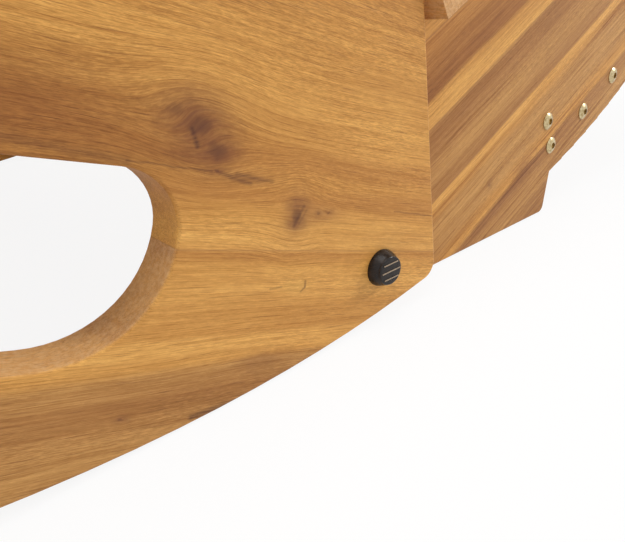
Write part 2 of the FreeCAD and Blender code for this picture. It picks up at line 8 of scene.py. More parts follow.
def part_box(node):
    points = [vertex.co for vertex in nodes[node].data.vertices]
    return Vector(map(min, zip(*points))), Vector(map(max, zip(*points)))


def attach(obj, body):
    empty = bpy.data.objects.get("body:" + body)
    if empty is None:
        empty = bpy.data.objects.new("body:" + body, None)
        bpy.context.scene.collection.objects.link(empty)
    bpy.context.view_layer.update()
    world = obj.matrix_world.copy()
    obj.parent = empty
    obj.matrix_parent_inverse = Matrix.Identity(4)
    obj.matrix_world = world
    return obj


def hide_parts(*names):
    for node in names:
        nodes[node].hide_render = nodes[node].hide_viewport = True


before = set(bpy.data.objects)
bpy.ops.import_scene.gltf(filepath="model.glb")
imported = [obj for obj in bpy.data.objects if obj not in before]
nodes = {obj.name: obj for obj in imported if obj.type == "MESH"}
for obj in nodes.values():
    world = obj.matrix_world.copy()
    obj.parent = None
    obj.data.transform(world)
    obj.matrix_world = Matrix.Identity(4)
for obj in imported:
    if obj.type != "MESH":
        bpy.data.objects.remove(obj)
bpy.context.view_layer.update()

# Places in the drawing frame of the photograph, in millimetres: x = 0 is under the middle of the leg
# rocker, y = 0 is the outer face of the photographed leg panel, z = 0 is the floor.
METRE = 1000.0
PIN_X = 114.3
ROCKER_RADIUS = 848.0
LEG_TILT = math.radians(19.2)
BACK_TILT = math.radians(26.0)
low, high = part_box("stop_bar")
SHIFT = PIN_X - METRE * (low.x + high.x) / 2
FACE_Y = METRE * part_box("leg_panel_left")[0].y

# Sockets of the mix node when it mixes colours.
MIX_FACTOR = 0
MIX_FIRST = 6
MIX_SECOND = 7
MIX_RESULT = 2


def srgb(red, green, blue):
    """A display colour, 0 to 255, as the linear values that a shader takes."""
    def linear(level):
        level = level / 255.0
        return level / 12.92 if level <= 0.04045 else ((level + 0.055) / 1.055) ** 2.4
    return (linear(red), linear(green), linear(blue), 1.0)


class Graph:
    """Short calls for the node tree of a material or world. A value is a number, a tuple or a socket."""

    def __init__(self, owner):
        owner.use_nodes = True
        self.owner = owner
        self.tree = owner.node_tree
        self.tree.nodes.clear()

    def add(self, kind, **settings):
        node = self.tree.nodes.new(kind)
        for key, value in settings.items():
            setattr(node, key, value)
        return node

    def put(self, socket, value):
        if isinstance(value, bpy.types.NodeSocket):
            self.tree.links.new(value, socket)
        elif value is not None:
            socket.default_value = value

    def math(self, operation, first, second=None, third=None, clamp=False):
        node = self.add("ShaderNodeMath", operation=operation, use_clamp=clamp)
        for socket, value in zip(node.inputs, (first, second, third)):
            self.put(socket, value)
        return node.outputs[0]

    def place(self):
        """Place in the part's frame, in metres."""
        return self.add("ShaderNodeTexCoord").outputs["Object"]

    def scaled(self, vector, factor):
        node = self.add("ShaderNodeVectorMath", operation="SCALE")
        self.put(node.inputs[0], vector)
        self.put(node.inputs["Scale"], factor)
        return node.outputs[0]

    def dot(self, vector, axis, offset=0.0):
        node = self.add("ShaderNodeVectorMath", operation="DOT_PRODUCT")
        self.put(node.inputs[0], vector)
        self.put(node.inputs[1], axis)
        return self.math("ADD", node.outputs["Value"], offset)

    def stretch(self, u, v, w, along, across, seed):
        """Noise coordinates that are long along the grain and short across it."""
        node = self.add("ShaderNodeCombineXYZ")
        self.put(node.inputs[0], self.math("MULTIPLY", u, along))
        self.put(node.inputs[1], self.math("MULTIPLY", v, across))
        self.put(node.inputs[2], self.math("ADD", self.math("MULTIPLY", w, across), seed))
        return node.outputs[0]

    def noise(self, vector, detail=3.0, rough=0.55, distortion=0.0):
        node = self.add("ShaderNodeTexNoise", noise_dimensions="3D")
        self.put(node.inputs["Vector"], vector)
        self.put(node.inputs["Scale"], 1.0)
        self.put(node.inputs["Detail"], detail)
        self.put(node.inputs["Roughness"], rough)
        self.put(node.inputs["Distortion"], distortion)
        return node.outputs["Fac"]

    def span(self, value, start, end, first=0.0, last=1.0, smooth=True):
        """A value that goes from first to last while the given one goes from start to end."""
        node = self.add("ShaderNodeMapRange", interpolation_type="SMOOTHSTEP" if smooth else "LINEAR")
        names = ("Value", "From Min", "From Max", "To Min", "To Max")
        for key, given in zip(names, (value, start, end, first, last)):
            self.put(node.inputs[key], given)
        return node.outputs[0]

    def mix(self, factor, first, second, blend="MIX"):
        node = self.add("ShaderNodeMix", data_type="RGBA", blend_type=blend)
        self.put(node.inputs[MIX_FACTOR], factor)
        self.put(node.inputs[MIX_FIRST], first)
        self.put(node.inputs[MIX_SECOND], second)
        return node.outputs[MIX_RESULT]

    def stain(self, factor, colour, tone):
        """The colour, multiplied by the tone as far as the factor says."""
        return self.mix(factor, colour, tone, "MULTIPLY")

    def ramp(self, factor, stops):
        node = self.add("ShaderNodeValToRGB")
        band = node.color_ramp
        while len(band.elements) > 1:
            band.elements.remove(band.elements[-1])
        band.elements[0].position, band.elements[0].color = stops[0]
        for place, colour in stops[1:]:
            band.elements.new(place).color = colour
        self.put(node.inputs[0], factor)
        return node.outputs[0]

    def seen(self):
        """1 for a ray that shows the background: to the camera, in a reflection or through glass."""
        path = self.add("ShaderNodeLightPath").outputs
        indirect = self.math("MAXIMUM", path["Is Glossy Ray"], path["Is Transmission Ray"])
        return self.math("MAXIMUM", path["Is Camera Ray"], indirect)

    def show(self, shader, kind="ShaderNodeOutputMaterial"):
        """Make the shader the look of the material or world."""
        self.tree.links.new(shader.outputs[0], self.add(kind).inputs[0])
        return self.owner

    def surface(self, colour, rough, bump, strength, distance, **fixed):
        shader = self.add("ShaderNodeBsdfPrincipled")
        self.put(shader.inputs["Base Color"], colour)
        self.put(shader.inputs["Roughness"], rough)
        for key, value in fixed.items():
            shader.inputs[key.replace("_", " ")].default_value = value
        relief = self.add("ShaderNodeBump")
        self.put(relief.inputs["Strength"], strength)
        self.put(relief.inputs["Distance"], distance)
        self.put(relief.inputs["Height"], bump)
        self.tree.links.new(relief.outputs[0], shader.inputs["Normal"])
        return self.show(shader)


# Tones of the oiled wood, as they look in even light.
PALE = srgb(222, 168, 90)
GOLD = srgb(211, 156, 80)
HONEY = srgb(202, 146, 73)
AMBER = srgb(192, 135, 67)
RUSSET = srgb(155, 100, 47)
UMBER = srgb(173, 122, 66)
FAWN = srgb(195, 146, 83)
EARTH = srgb(152, 104, 62)
SMOKE = srgb(110, 63, 40)
DARK = srgb(74, 39, 28)
# The next tone is dust on sawn edges, and partly a painted highlight.
DUST_AND_HIGHLIGHT = srgb(228, 192, 146)
SHEEN = srgb(226, 180, 100)

# Tones that multiply the wood's own.
SAWN = srgb(248, 238, 224)
LATEWOOD = srgb(196, 168, 128)
FIBRE = srgb(192, 164, 122)
PORE = srgb(150, 118, 92)
OLIVE = srgb(255, 252, 222)
DEEPER = srgb(206, 178, 146)
# The next tone is a painted sheen: it lightens the wood in patches, as if the surface caught the light.
PAINTED_SHEEN_TONE = (1.13, 1.18, 1.24, 1.0)
FLECK_DARK = (0.79, 0.76, 0.71, 1.0)
FLECK_LIGHT = (1.16, 1.18, 1.21, 1.0)

# Noise in the wood: patches per millimetre along and across the grain, detail, roughness and distortion.
BEND_NOISE = (0.005, 0.010, 2.0)
DRIFT_NOISE = (0.010, 0.05)
BROAD_NOISE = (0.006, 0.09, 3.0, 0.6)
BAND_NOISE = (0.008, 0.40, 4.0, 0.62, 0.15)
LIVELY_NOISE = (0.004, 0.025, 1.0)
FIBRE_NOISE = (0.018, 1.3, 5.0, 0.78)
PORE_NOISE = (0.045, 2.0, 1.0)
# The next noise places the painted sheen.
PAINTED_SHEEN_NOISE = (0.12, 0.45, 5.0, 0.85)
FLECK_NOISE = (0.22, 1.9, 2.0, 0.7)
THICK_NOISE = (0.008, 0.03, 1.0)

# The same for noise that is alike along and across: patches per millimetre, detail and roughness.
RAGGED_NOISE = (0.09, 3.0)
SPECK_NOISE = (0.4, 4.0, 0.7)

# How far noise moves the grain and the places of marks, in millimetres.
BEND_REACH = 9.0
DRIFT_REACH = 5.0
RAGGED_ALONG = 8.0
RAGGED_ACROSS = 7.0

# What a noise or distance does to the colour: from and to which value, and how strong it is at each.
BROAD_SPAN = (0.35, 0.68, 0.0, 0.30)
LIVELY_SPAN = (0.36, 0.60, 0.3, 1.0)
STRIPE_SPAN = (0.48, 0.74)
STRIPE_STRENGTH = 0.52
RING_LEVEL = 0.53
RING_SPAN = (0.0, 0.022, 0.48, 0.0)
FIBRE_SPAN = (0.43, 0.68, 0.0, 0.54)
PORE_SPAN = (0.63, 0.76, 0.0, 0.50)
# The next span sets how strongly the painted sheen shows.
PAINTED_SHEEN_SPAN = (0.45, 0.70)
FLECK_SPAN = (0.30, 0.70)
THICK_SPAN = (0.38, 0.62, 0.35, 1.0)
JOINT_SPAN = (0.15, 0.75)
EDGE_SPAN = (0.25, 0.85, 1.0, 0.0)
DUST_AND_HIGHLIGHT_SPAN = (0.35, 0.75, 0.25, 0.75)

# Knots: how far they part the grain, how the grain shows in their halo, and their dark core.
PARTING_FADE = 0.30
PARTING = -0.5
HALO_SPAN = (0.35, 0.65)
HALO_GRAIN = 0.5
HALO_PLAIN = 0.6
CORE_SIZE = 0.22
CORE_STRENGTH = 0.55

# Cracks: their share of the ragged move, and how the fibres break them up.
CRACK_WANDER = 0.3
CRACK_SPAN = (0.30, 0.62)
CRACK_FAINTEST = 0.35

# How boards of one kind differ, and how dry and how oily sawn edges look: their dry paleness is partly a
# painted highlight, and their oily darkening partly painted shade.
VARY_STRENGTH = 0.5
VARY_SEED = 400.0
EDGE_STRENGTH = 0.8
OIL_AND_SHADE_RISE = 0.6
OIL_AND_SHADE_STRENGTH = 0.8

# Gloss and relief of the wood.
WOOD_ROUGH = (0.3, 0.8, 0.40, 0.58)
EDGE_ROUGH = 0.14
FIBRE_RELIEF = 0.6
PORE_RELIEF = (0.6, 0.8, 0.0, -0.8)
WOOD_BUMP = 0.25
WOOD_BUMP_DISTANCE = 0.0004
WOOD_SPECULAR = 0.28


class Board:
    """A wooden board: u along the grain, v across it and w through it, as sockets, in millimetres."""

    def __init__(self, graph, axes, seed, vary):
        (along, along_offset), (across, across_offset), through = axes
        place = graph.scaled(graph.place(), METRE)
        self.graph = graph
        self.through = through
        self.u = graph.dot(place, along, along_offset)
        self.v = graph.dot(place, across, across_offset)
        self.w = graph.dot(place, through)
        self.chance = graph.add("ShaderNodeObjectInfo").outputs["Random"] if vary else None
        self.seed = graph.math("MULTIPLY_ADD", self.chance, VARY_SEED, seed) if vary else seed
        self.grain = self.v

    def noise(self, along, across, *texture):
        """Noise whose patches are 1 / along long and 1 / across wide, following the grain."""
        vector = self.graph.stretch(self.u, self.grain, self.w, along, across, self.seed)
        return self.graph.noise(vector, *texture)

    def even_noise(self, first, second, scale, *texture):
        """Noise that is alike in both directions and doesn't follow the grain."""
        vector = self.graph.stretch(first, second, self.w, scale, scale, self.seed)
        return self.graph.noise(vector, *texture)

    def swing(self, noise, reach):
        """Noise as a move to either side, over the whole reach."""
        return self.graph.math("MULTIPLY_ADD", noise, reach, -reach / 2)

    def square_sum(self, du, dv):
        graph = self.graph
        return graph.math("ADD", graph.math("MULTIPLY", du, du), graph.math("MULTIPLY", dv, dv))

    def blob(self, u, v, spot):
        """Squared distance from a spot (along, across, length, height), 1 at its rim."""
        graph = self.graph
        du = graph.math("DIVIDE", graph.math("SUBTRACT", u, spot[0]), spot[2])
        dv = graph.math("DIVIDE", graph.math("SUBTRACT", v, spot[1]), spot[3])
        return self.square_sum(du, dv)

    def fade(self, squared, rate):
        return self.graph.math("POWER", math.e, self.graph.math("MULTIPLY", squared, -rate))

    def stroke(self, u, v, start, end, width):
        """1 on the line from start to end, falling to 0 at a distance of width."""
        graph = self.graph
        run, rise = end[0] - start[0], end[1] - start[1]
        square = run * run + rise * rise
        offset = -(start[0] * run + start[1] * rise) / square
        step = graph.math("MULTIPLY_ADD", v, rise / square, offset)
        step = graph.math("MULTIPLY_ADD", u, run / square, step, clamp=True)
        du = graph.math("SUBTRACT", graph.math("MULTIPLY_ADD", step, -run, u), start[0])
        dv = graph.math("SUBTRACT", graph.math("MULTIPLY_ADD", step, -rise, v), start[1])
        return graph.span(graph.math("SQRT", self.square_sum(du, dv)), 0.0, width, 1.0, 0.0)

    def loosen(self):
        """Ragged places for patches, knots and cracks, and a place across that drifts along the grain."""
        graph = self.graph
        self.ragged_u = self.swing(self.even_noise(self.u, self.v, *RAGGED_NOISE), RAGGED_ALONG)
        self.ragged_v = self.swing(self.even_noise(self.v, self.u, *RAGGED_NOISE), RAGGED_ACROSS)
        self.loose_u = graph.math("ADD", self.u, self.ragged_u)
        self.loose_v = graph.math("ADD", self.v, self.ragged_v)
        self.blurred = graph.math("ADD", self.v, self.swing(self.noise(*DRIFT_NOISE), DRIFT_REACH))

    def bend(self, knots):
        """Let the grain bend slowly along the board and part around each knot."""
        graph = self.graph
        bent = graph.math("MULTIPLY_ADD", self.noise(*BEND_NOISE), BEND_REACH, self.v)
        for knot in knots:
            wide = self.fade(self.blob(self.u, self.v, knot), PARTING_FADE)
            away = graph.math("SUBTRACT", self.v, knot[1])
            pull = graph.math("MULTIPLY", wide, PARTING)
            bent = graph.math("ADD", bent, graph.math("MULTIPLY", away, pull))
        self.grain = bent

    def base(self, tones, patches):
        """Tones across the board, softened along the grain, with wide patches of another tone."""
        graph = self.graph
        start, end = tones[0][0], tones[-1][0]
        stops = [((place - start) / (end - start), tone) for place, tone in tones]
        colour = graph.ramp(graph.span(self.blurred, start, end, smooth=False), stops)
        for patch in patches:
            strength, tone = patch[4:]
            spread = self.fade(self.blob(self.loose_u, self.loose_v, patch), 1.0)
            colour = graph.mix(graph.math("MULTIPLY", spread, strength), colour, tone)
        return colour

    def figure(self, colour, streak):
        """Growth bands, fibres, pores, a painted silky sheen on the surface and its fine flecks."""
        graph = self.graph
        self.bands = self.noise(*BAND_NOISE)
        self.fibre = self.noise(*FIBRE_NOISE)
        self.pore = self.noise(*PORE_NOISE)
        colour = graph.stain(graph.span(self.noise(*BROAD_NOISE), *BROAD_SPAN), colour, LATEWOOD)
        lively = graph.span(self.noise(*LIVELY_NOISE), *LIVELY_SPAN)
        stripe = graph.span(self.bands, *STRIPE_SPAN, 0.0, STRIPE_STRENGTH * streak)
        colour = graph.stain(graph.math("MULTIPLY", lively, stripe, clamp=True), colour, LATEWOOD)
        ring = graph.span(graph.math("ABSOLUTE", graph.math("SUBTRACT", self.bands, RING_LEVEL)), *RING_SPAN)
        colour = graph.stain(graph.math("MULTIPLY", lively, ring), colour, LATEWOOD)
        colour = graph.stain(graph.span(self.fibre, *FIBRE_SPAN), colour, FIBRE)
        colour = graph.stain(graph.span(self.pore, *PORE_SPAN), colour, PORE)
        # Painted sheen: patches of the wood lightened as if they caught the light.
        colour = graph.stain(graph.span(self.noise(*PAINTED_SHEEN_NOISE), *PAINTED_SHEEN_SPAN), colour, PAINTED_SHEEN_TONE)
        flecks = graph.mix(graph.span(self.noise(*FLECK_NOISE), *FLECK_SPAN), FLECK_DARK, FLECK_LIGHT)
        return graph.stain(graph.span(self.noise(*THICK_NOISE), *THICK_SPAN), colour, flecks)

    def marks(self, colour, joints, knots, cracks):
        """Glue lines, knots with a halo and a core, and cracks."""
        graph = self.graph
        for line, strength in joints:
            away = graph.math("ABSOLUTE", graph.math("SUBTRACT", self.v, line))
            colour = graph.mix(graph.span(away, *JOINT_SPAN, strength, 0.0), colour, EARTH)
        for knot in knots:
            depth = knot[4]
            squared = self.blob(self.loose_u, self.loose_v, knot)
            halo = graph.math("MULTIPLY", self.fade(squared, 1.0), depth)
            lines = graph.math("MULTIPLY_ADD", graph.span(self.bands, *HALO_SPAN), HALO_GRAIN, HALO_PLAIN)
            colour = graph.mix(graph.math("MULTIPLY", halo, lines, clamp=True), colour, SMOKE)
            colour = graph.mix(graph.span(squared, 0.0, CORE_SIZE, CORE_STRENGTH * depth, 0.0), colour, DARK)
        wander_u = graph.math("MULTIPLY_ADD", self.ragged_u, CRACK_WANDER, self.u)
        wander_v = graph.math("MULTIPLY_ADD", self.ragged_v, CRACK_WANDER, self.v)
        for start, end, width, depth in cracks:
            line = self.stroke(wander_u, wander_v, start, end, width)
            broken = graph.span(self.fibre, *CRACK_SPAN, CRACK_FAINTEST * depth, depth)
            colour = graph.mix(graph.math("MULTIPLY", line, broken), colour, DARK)
        return colour

    def sawn(self, colour, edge, oil_and_shade_above):
        """Sawn edges and end grain, drier and paler than the oiled faces, but oily and darker above a place
        across. The paleness is partly a painted highlight and the darker oily part partly painted shade.
        """
        graph = self.graph
        speck = self.even_noise(self.u, self.v, *SPECK_NOISE)
        # Pale dust on sawn edges, partly a painted highlight.
        dust_and_highlight = graph.mix(graph.span(speck, *DUST_AND_HIGHLIGHT_SPAN), graph.stain(1.0, colour, SAWN), DUST_AND_HIGHLIGHT)
        if oil_and_shade_above is not None:
            # Above the place across, edges stay darker and tinted: oil, and partly painted shade on the
            # slot's upper wall.
            oil_and_shade = graph.span(self.blurred, oil_and_shade_above, oil_and_shade_above + OIL_AND_SHADE_RISE, 0.0, OIL_AND_SHADE_STRENGTH)
            dust_and_highlight = graph.mix(oil_and_shade, dust_and_highlight, graph.stain(1.0, colour, OLIVE))
        return graph.mix(graph.math("MULTIPLY", edge, EDGE_STRENGTH), colour, dust_and_highlight)


def wood(name, axes, tones, seed, joints=(), knots=(), patches=(), cracks=(), streak=1.0, vary=False,
         oil_and_shade_above=None):
    """Oiled hardwood glued up from staves, in millimetres along and across the board.

    tones are the colours across it, joints (across, strength), knots (along, across, length, height, depth),
    patches (along, across, length, height, strength, tone) and cracks (start, end, width, depth)."""
    graph = Graph(bpy.data.materials.new(name))
    board = Board(graph, axes, seed, vary)
    board.loosen()
    board.bend(knots)
    colour = board.figure(board.base(tones, patches), streak)
    colour = board.marks(colour, joints, knots, cracks)
    if vary:
        colour = graph.stain(graph.math("MULTIPLY", board.chance, VARY_STRENGTH), colour, DEEPER)
    normal = graph.add("ShaderNodeNewGeometry").outputs["Normal"]
    edge = graph.span(graph.math("ABSOLUTE", graph.dot(normal, board.through)), *EDGE_SPAN)
    colour = board.sawn(colour, edge, oil_and_shade_above)
    rough = graph.math("ADD", graph.span(board.fibre, *WOOD_ROUGH), graph.math("MULTIPLY", edge, EDGE_ROUGH))
    ridges = graph.math("MULTIPLY", board.fibre, FIBRE_RELIEF)
    height = graph.math("ADD", ridges, graph.span(board.pore, *PORE_RELIEF))
    return graph.surface(colour, rough, height, WOOD_BUMP, WOOD_BUMP_DISTANCE,
                         Specular_IOR_Level=WOOD_SPECULAR)


# Axes of the boards: along and across the grain, each with its offset, and through the board.
LEG_AXES = (((math.cos(LEG_TILT), 0.0, -math.sin(LEG_TILT)),
             SHIFT * math.cos(LEG_TILT) + ROCKER_RADIUS * math.sin(LEG_TILT)),
            ((math.sin(LEG_TILT), 0.0, math.cos(LEG_TILT)),
             SHIFT * math.sin(LEG_TILT) + ROCKER_RADIUS * (1 - math.cos(LEG_TILT))),
            (0.0, 1.0, 0.0))
BACK_AXES = (((math.cos(BACK_TILT), 0.0, math.sin(BACK_TILT)), SHIFT * math.cos(BACK_TILT)),
             ((-math.sin(BACK_TILT), 0.0, math.cos(BACK_TILT)), -SHIFT * math.sin(BACK_TILT)),
             (0.0, 1.0, 0.0))
CROSS_AXES = (((0.0, 1.0, 0.0), 0.0), ((1.0, 0.0, 0.0), 0.0), (0.0, 0.0, 1.0))

# The photographed leg panel: its staves, and its knots, stains, a painted sheen and cracks.
LEG_JOINT = 132.0
LEG_LEFT_TONES = [
    (-10, FAWN), (30, FAWN), (56, UMBER), (69, FAWN), (73, GOLD), (80, PALE), (86, PALE), (88, HONEY),
    (112, PALE), (124, GOLD), (131.5, AMBER), (132.5, PALE), (142, PALE), (147, GOLD), (154, HONEY),
    (160, AMBER), (170, HONEY), (178, AMBER), (190, HONEY), (202, GOLD), (226, GOLD), (262, HONEY),
    (330, AMBER)]
LEG_LEFT_KNOTS = [
    (233, 190, 17, 14, 0.95), (220, 195, 12, 8, 0.45), (243, 180, 13, 10, 0.75), (245, 170.5, 3.5, 1.6, 0.8),
    (298, 151.5, 8.5, 10.5, 0.9), (313, 153, 3, 2.2, 0.6), (321, 154.5, 3, 1.6, 0.5), (211, 48, 3, 2, 0.6),
    (-120, 205, 12, 15, 0.7), (-300, 150, 12, 10, 0.6), (60, 40, 10, 9, 0.5)]
# The PALE patch at 350 along and 197 across is a painted sheen, where the face catches the light; the other
# patches are stains.
LEG_LEFT_PATCHES_AND_SHEEN = [
    (150, 186, 70, 22, 1.0, RUSSET), (215, 175, 26, 4, 0.5, RUSSET), (350, 197, 45, 12, 0.35, PALE),
    (263, 168.5, 15, 3, 0.5, EARTH), (316, 153, 16, 5, 0.4, EARTH), (306, 112, 9, 4, 0.6, SHEEN),
    (290, 69, 16, 5, 0.5, EARTH)]
LEG_LEFT_CRACKS = [
    ((100, 178), (200, 171), 3.5, 0.35), ((200, 171), (242, 170.2), 0.9, 0.5),
    ((229, 188), (233, 180.5), 2.0, 0.75), ((247, 169.8), (265, 166), 2.0, 0.55),
    ((256, 170), (278, 168), 1.8, 0.5), ((302, 157), (297, 146), 1.8, 0.5),
    ((304, 155), (300.5, 147), 1.3, 0.35), ((375, 157.5), (413, 156), 0.9, 0.5),
    ((250, 42), (281, 47), 3.0, 0.7), ((312.5, 114.5), (312.8, 111), 1.2, 0.6),
    ((312.8, 111), (310.5, 108.5), 1.2, 0.6), ((288, 110.5), (296, 111.5), 1.2, 0.4)]

# The other panels and boards.
LEG_RIGHT_TONES = [
    (-10, AMBER), (46, HONEY), (48, GOLD), (98, HONEY), (100, UMBER), (140, RUSSET), (148, PALE),
    (150, AMBER), (200, GOLD), (202, RUSSET), (250, HONEY), (330, AMBER)]
LEG_RIGHT_JOINTS = [(47.0, 0.5), (99.0, 0.5), (149.0, 0.5), (201.0, 0.6), (251.0, 0.5)]
LEG_RIGHT_KNOTS = [(290, 120, 9, 12, 0.7), (-60, 222, 10, 11, 0.8), (-330, 170, 9, 8, 0.6)]
BACK_LEFT_TONES = [
    (-190, FAWN), (-140, UMBER), (-122, FAWN), (-104, UMBER), (-97, UMBER), (-95, GOLD), (-90, HONEY),
    (-80, FAWN), (-70, FAWN), (-58, FAWN), (-50, HONEY), (-46, PALE), (-42, PALE), (-40, UMBER),
    (-22, FAWN), (-8, UMBER), (7, UMBER), (9, PALE), (24, GOLD), (28, RUSSET), (62, AMBER), (64, GOLD),
    (110, HONEY), (180, AMBER)]
BACK_LEFT_JOINTS = [(-41.0, 0.6), (8.0, 0.5), (63.0, 0.5), (112.0, 0.5)]
BACK_LEFT_KNOTS = [(262, -76, 4, 3, 0.5), (560, 20, 12, 14, 0.7), (800, 70, 10, 9, 0.6)]
BACK_LEFT_PATCHES = [(306, -92, 14, 6, 0.55, EARTH), (255, -101, 50, 3, 0.5, EARTH)]
BACK_RIGHT_TONES = [
    (-190, AMBER), (-120, RUSSET), (-118, GOLD), (-70, HONEY), (-68, UMBER), (-20, AMBER), (-18, PALE),
    (-8, HONEY), (30, AMBER), (32, RUSSET), (80, HONEY), (82, GOLD), (180, AMBER)]
BACK_RIGHT_JOINTS = [(-119.0, 0.5), (-69.0, 0.5), (-19.0, 0.5), (31.0, 0.5), (81.0, 0.5)]
BACK_RIGHT_KNOTS = [(420, -40, 10, 11, 0.7), (690, 40, 10, 9, 0.7)]
SLAT_TONES = [(-900, HONEY), (-500, GOLD), (-200, AMBER), (100, HONEY), (400, GOLD), (900, AMBER)]
RAIL_TONES = [(-900, AMBER), (0, HONEY), (900, RUSSET)]
RUNNER_TONES = [(-190, AMBER), (-120, HONEY), (-60, AMBER), (180, HONEY)]

panel_woods = {
    "leg_panel_left": wood(
        "oiled_wood_leg_left", LEG_AXES, LEG_LEFT_TONES, seed=3.7, joints=[(LEG_JOINT, 0.4)],
        knots=LEG_LEFT_KNOTS, patches=LEG_LEFT_PATCHES_AND_SHEEN, cracks=LEG_LEFT_CRACKS, oil_and_shade_above=LEG_JOINT),
    "leg_panel_right": wood(
        "oiled_wood_leg_right", LEG_AXES, LEG_RIGHT_TONES, seed=41.3, joints=LEG_RIGHT_JOINTS,
        knots=LEG_RIGHT_KNOTS),
    "back_panel_left": wood(
        "oiled_wood_back_left", BACK_AXES, BACK_LEFT_TONES, seed=17.9, joints=BACK_LEFT_JOINTS,
        knots=BACK_LEFT_KNOTS, patches=BACK_LEFT_PATCHES, streak=2.3),
    "back_panel_right": wood(
        "oiled_wood_back_right", BACK_AXES, BACK_RIGHT_TONES, seed=63.1, joints=BACK_RIGHT_JOINTS,
        knots=BACK_RIGHT_KNOTS, streak=1.4)}
wood_slat = wood("oiled_wood_slat", CROSS_AXES, SLAT_TONES, seed=87.0, streak=1.2, vary=True)
wood_rail = wood("oiled_wood_rail", CROSS_AXES, RAIL_TONES, seed=129.0, vary=True)
wood_runner = wood("oiled_wood_runner", BACK_AXES, RUNNER_TONES, seed=151.0, streak=1.2, vary=True)

# Steel: patches of bloom and turning marks per metre, with their detail and roughness, and what they do.
BLOOM_SCALE = 420.0
BLOOM_NOISE = (4.0, 0.6)
BLOOM_SPAN = (0.35, 0.7)
BLOOM_ROUGH_SPAN = (0.3, 0.7)
BLOOM_SMOOTHER = 0.06
BLOOM_ROUGHER = 0.08
MARK_SCALE = 3500.0
MARK_NOISE = (2.0, 0.5)
MARK_ROUGH = 0.05
METAL_BUMP = 0.08
METAL_BUMP_DISTANCE = 0.00005

# Plastic: moulded grain and wear per metre, with their detail and roughness, and what they do.
GRAIN_SCALE = 2600.0
GRAIN_NOISE = (3.0, 0.6)
WEAR_SCALE = 260.0
WEAR_NOISE = (4.0, 0.65)
SCUFF_SPAN = (0.45, 0.8)
SCUFF_STRENGTH = 0.5
WEAR_ROUGH_SPAN = (0.3, 0.8)
WEAR_SMOOTHER = 0.05
WEAR_ROUGHER = 0.12
PLASTIC_BUMP = 0.25
PLASTIC_BUMP_DISTANCE = 0.00012
PLASTIC_SPECULAR = 0.30

# The painted highlight on the tops of ribs: its tone, how the grain breaks it up, its depth and its rim, in
# metres.
PAINTED_RIB_HIGHLIGHT = srgb(186, 164, 138)
PAINTED_RIB_HIGHLIGHT_SPAN = (0.40, 0.62, 0.45, 0.90)
PAINTED_HIGHLIGHT_DEPTH = 0.0003
PAINTED_HIGHLIGHT_RIM = (-0.0002, 0.0001)


def metal(name, colour, dull, rough):
    """Zinc-plated steel with a faint mottled bloom and fine turning marks."""
    graph = Graph(bpy.data.materials.new(name))
    place = graph.place()
    bloom = graph.noise(graph.scaled(place, BLOOM_SCALE), *BLOOM_NOISE)
    marks = graph.noise(graph.scaled(place, MARK_SCALE), *MARK_NOISE)
    tint = graph.mix(graph.span(bloom, *BLOOM_SPAN), colour, dull)
    cloudy = graph.span(bloom, *BLOOM_ROUGH_SPAN, rough - BLOOM_SMOOTHER, rough + BLOOM_ROUGHER)
    spread = graph.math("ADD", cloudy, graph.math("MULTIPLY", marks, MARK_ROUGH))
    return graph.surface(tint, spread, marks, METAL_BUMP, METAL_BUMP_DISTANCE, Metallic=1.0)


def plastic(name, colour, scuff, rough, painted_highlight_from=None):
    """Moulded plastic with a fine grain and slight scuffs, and a pale painted highlight beyond a place
    across.
    """
    graph = Graph(bpy.data.materials.new(name))
    place = graph.place()
    grain = graph.noise(graph.scaled(place, GRAIN_SCALE), *GRAIN_NOISE)
    wear = graph.noise(graph.scaled(place, WEAR_SCALE), *WEAR_NOISE)
    tint = graph.mix(graph.math("MULTIPLY", graph.span(wear, *SCUFF_SPAN), SCUFF_STRENGTH), colour, scuff)
    # A painted highlight on the rib tops, pale where they stand beyond the place across.
    if painted_highlight_from is not None:
        outward = graph.math("ABSOLUTE", graph.dot(place, (0.0, 1.0, 0.0)))
        beyond = graph.span(graph.math("SUBTRACT", outward, painted_highlight_from), *PAINTED_HIGHLIGHT_RIM)
        painted_highlight = graph.math("MULTIPLY", beyond, graph.span(grain, *PAINTED_RIB_HIGHLIGHT_SPAN))
        tint = graph.mix(painted_highlight, tint, PAINTED_RIB_HIGHLIGHT)
    spread = graph.span(wear, *WEAR_ROUGH_SPAN, rough - WEAR_SMOOTHER, rough + WEAR_ROUGHER)
    return graph.surface(tint, spread, grain, PLASTIC_BUMP, PLASTIC_BUMP_DISTANCE,
                         Specular_IOR_Level=PLASTIC_SPECULAR)


cap_face = -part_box("stop_bar_cap_left")[0].y
zinc = metal("zinc_steel", colour=srgb(208, 190, 150), dull=srgb(168, 145, 100), rough=0.22)
# Black plastic for the caps, with a painted highlight on the tops of the ribs.
black = plastic("black_plastic", colour=srgb(26, 19, 16), scuff=srgb(66, 56, 50), rough=0.29,
                painted_highlight_from=cap_face - PAINTED_HIGHLIGHT_DEPTH)
nylon = plastic("nylon", colour=srgb(226, 223, 214), scuff=srgb(206, 202, 190), rough=0.5)


def material_for(name):
    if name in panel_woods:
        return panel_woods[name]
    if "slat" in name:
        return wood_slat
    if name.endswith("_rail"):
        return wood_rail
    if name.startswith("back_runner"):
        return wood_runner
    if name.startswith("stop_bar_cap"):
        return black
    if name.startswith("pivot_spacer"):
        return nylon
    return zinc


for name, piece in nodes.items():
    piece.data.materials.clear()
    piece.data.materials.append(material_for(name))


